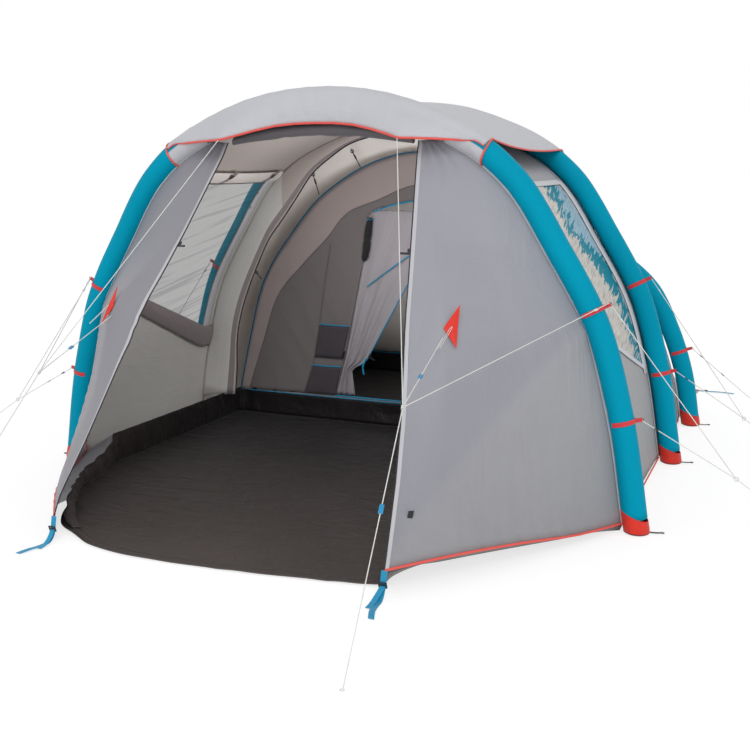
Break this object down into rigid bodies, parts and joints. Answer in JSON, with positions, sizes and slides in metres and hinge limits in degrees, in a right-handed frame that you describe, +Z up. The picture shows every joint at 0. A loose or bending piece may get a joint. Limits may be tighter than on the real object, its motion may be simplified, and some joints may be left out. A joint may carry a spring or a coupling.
{
  "type": "inflatable tent",
  "caption": "Inflatable family tent on air-beam arches, with a hooded porch and wings, a windowed living room and a hung bedroom.",
  "frame": {"origin": "centre of the footprint on the ground, measured without the guy lines", "axes": "+Y along the tent from the porch to the rear edge, +Z up, +X to the side with the inflation valves"},
  "size_m": [4.7762, 5.0144, 1.9643],
  "materials": {
    "beam_fabric": "woven polyester, satin",
    "bladder_film": "translucent film",
    "red_plastic": "moulded",
    "red_fabric": "coated woven fabric",
    "red_webbing": "flat webbing",
    "roof_fabric": "coated polyester",
    "fly_fabric": "coated polyester",
    "clear_film": "clear flexible film",
    "black_plastic": "moulded",
    "blue_plastic": "moulded",
    "blue_webbing": "flat webbing",
    "cord": "braided cord",
    "lining_fabric": "light woven lining",
    "ground_fabric": "coated groundsheet",
    "inner_fabric": "breathable woven fabric"
  },
  "bodies": {
    "tent": {"front_beam_sleeve": "beam_fabric", "front_beam_bladder": "bladder_film", "front_valve": "red_plastic", "front_foot_boot_left": "red_fabric", "front_upper_strap_left": "red_webbing", "front_lower_strap_left": "red_webbing", "front_foot_boot_right": "red_fabric", "front_upper_strap_right": "red_webbing", "front_lower_strap_right": "red_webbing", "middle_beam_sleeve": "beam_fabric", "middle_beam_bladder": "bladder_film", "middle_valve": "red_plastic", "middle_foot_boot_left": "red_fabric", "middle_upper_strap_left": "red_webbing", "middle_lower_strap_left": "red_webbing", "middle_foot_boot_right": "red_fabric", "middle_upper_strap_right": "red_webbing", "middle_lower_strap_right": "red_webbing", "rear_beam_sleeve": "beam_fabric", "rear_beam_bladder": "bladder_film", "rear_valve": "red_plastic", "rear_foot_boot_left": "red_fabric", "rear_strap_left": "red_webbing", "rear_foot_boot_right": "red_fabric", "rear_strap_right": "red_webbing", "roof_cover": "roof_fabric", "porch_wing_left": "fly_fabric", "window_left": "clear_film", "front_corner_strap_left": "blue_webbing", "rear_corner_strap_left": "blue_webbing", "front_guy_lines_left": "cord", "front_side_guy_lines_left": "cord", "middle_side_guy_lines_left": "cord", "rear_side_guy_line_left": "cord", "porch_wing_right": "fly_fabric", "window_right": "clear_film", "front_corner_strap_right": "blue_webbing", "rear_corner_strap_right": "blue_webbing", "front_guy_lines_right": "cord", "front_side_guy_lines_right": "cord", "middle_side_guy_lines_right": "cord", "rear_side_guy_line_right": "cord", "living_room_shell": "fly_fabric", "bedroom_shell": "fly_fabric", "rear_shell": "fly_fabric", "front_door_rolled": "fly_fabric", "window_curtain_rolled": "lining_fabric", "living_groundsheet": "ground_fabric", "bedroom_tray": "ground_fabric", "bedroom_front_wall": "inner_fabric", "bedroom_canopy": "lining_fabric", "bedroom_door": "inner_fabric"},
    "front_valve_cap": {"front_valve_cap": "red_plastic"},
    "middle_valve_cap": {"middle_valve_cap": "red_plastic"},
    "rear_valve_cap": {"rear_valve_cap": "red_plastic"},
    "door_zip_slider_left": {"door_zip_slider_left": "black_plastic"},
    "door_zip_slider_right": {"door_zip_slider_right": "black_plastic"},
    "bedroom_zip_slider": {"bedroom_zip_slider": "black_plastic"},
    "guy_tensioner_left": {"guy_tensioner_left": "blue_plastic"},
    "guy_tensioner_right": {"guy_tensioner_right": "blue_plastic"}
  },
  "joints": [
    {"name": "front_valve_cap_turn", "type": "hinge", "parent": "tent", "child": "front_valve_cap", "pos_m": [1.49884, -0.979, 0.25], "axis": [0, 1, 0], "range_deg": [0, 450]},
    {"name": "middle_valve_cap_turn", "type": "hinge", "parent": "tent", "child": "middle_valve_cap", "pos_m": [1.49884, 0.221, 0.25], "axis": [0, 1, 0], "range_deg": [0, 450]},
    {"name": "rear_valve_cap_turn", "type": "hinge", "parent": "tent", "child": "rear_valve_cap", "pos_m": [1.50493, 1.141, 0.25], "axis": [0, 1, 0], "range_deg": [0, 450]},
    {"name": "door_zip_left_slide", "type": "slide", "parent": "tent", "child": "door_zip_slider_left", "axis": [-0.1409, -0.5461, -0.8258], "range_m": [-0.04, 1.32]},
    {"name": "door_zip_right_slide", "type": "slide", "parent": "tent", "child": "door_zip_slider_right", "axis": [0.1409, -0.5461, -0.8258], "range_m": [-0.04, 1.32]},
    {"name": "bedroom_zip_slide", "type": "slide", "parent": "tent", "child": "bedroom_zip_slider", "axis": [0.4869, 0, 0.8735], "range_m": [-0.02, 0.62]},
    {"name": "guy_tensioner_left_slide", "type": "slide", "parent": "tent", "child": "guy_tensioner_left", "axis": [-0.0874, -0.701, -0.7078], "range_m": [-0.34, 0.55]},
    {"name": "guy_tensioner_right_slide", "type": "slide", "parent": "tent", "child": "guy_tensioner_right", "axis": [0.0874, -0.701, -0.7078], "range_m": [-0.34, 0.55]}
  ]
}
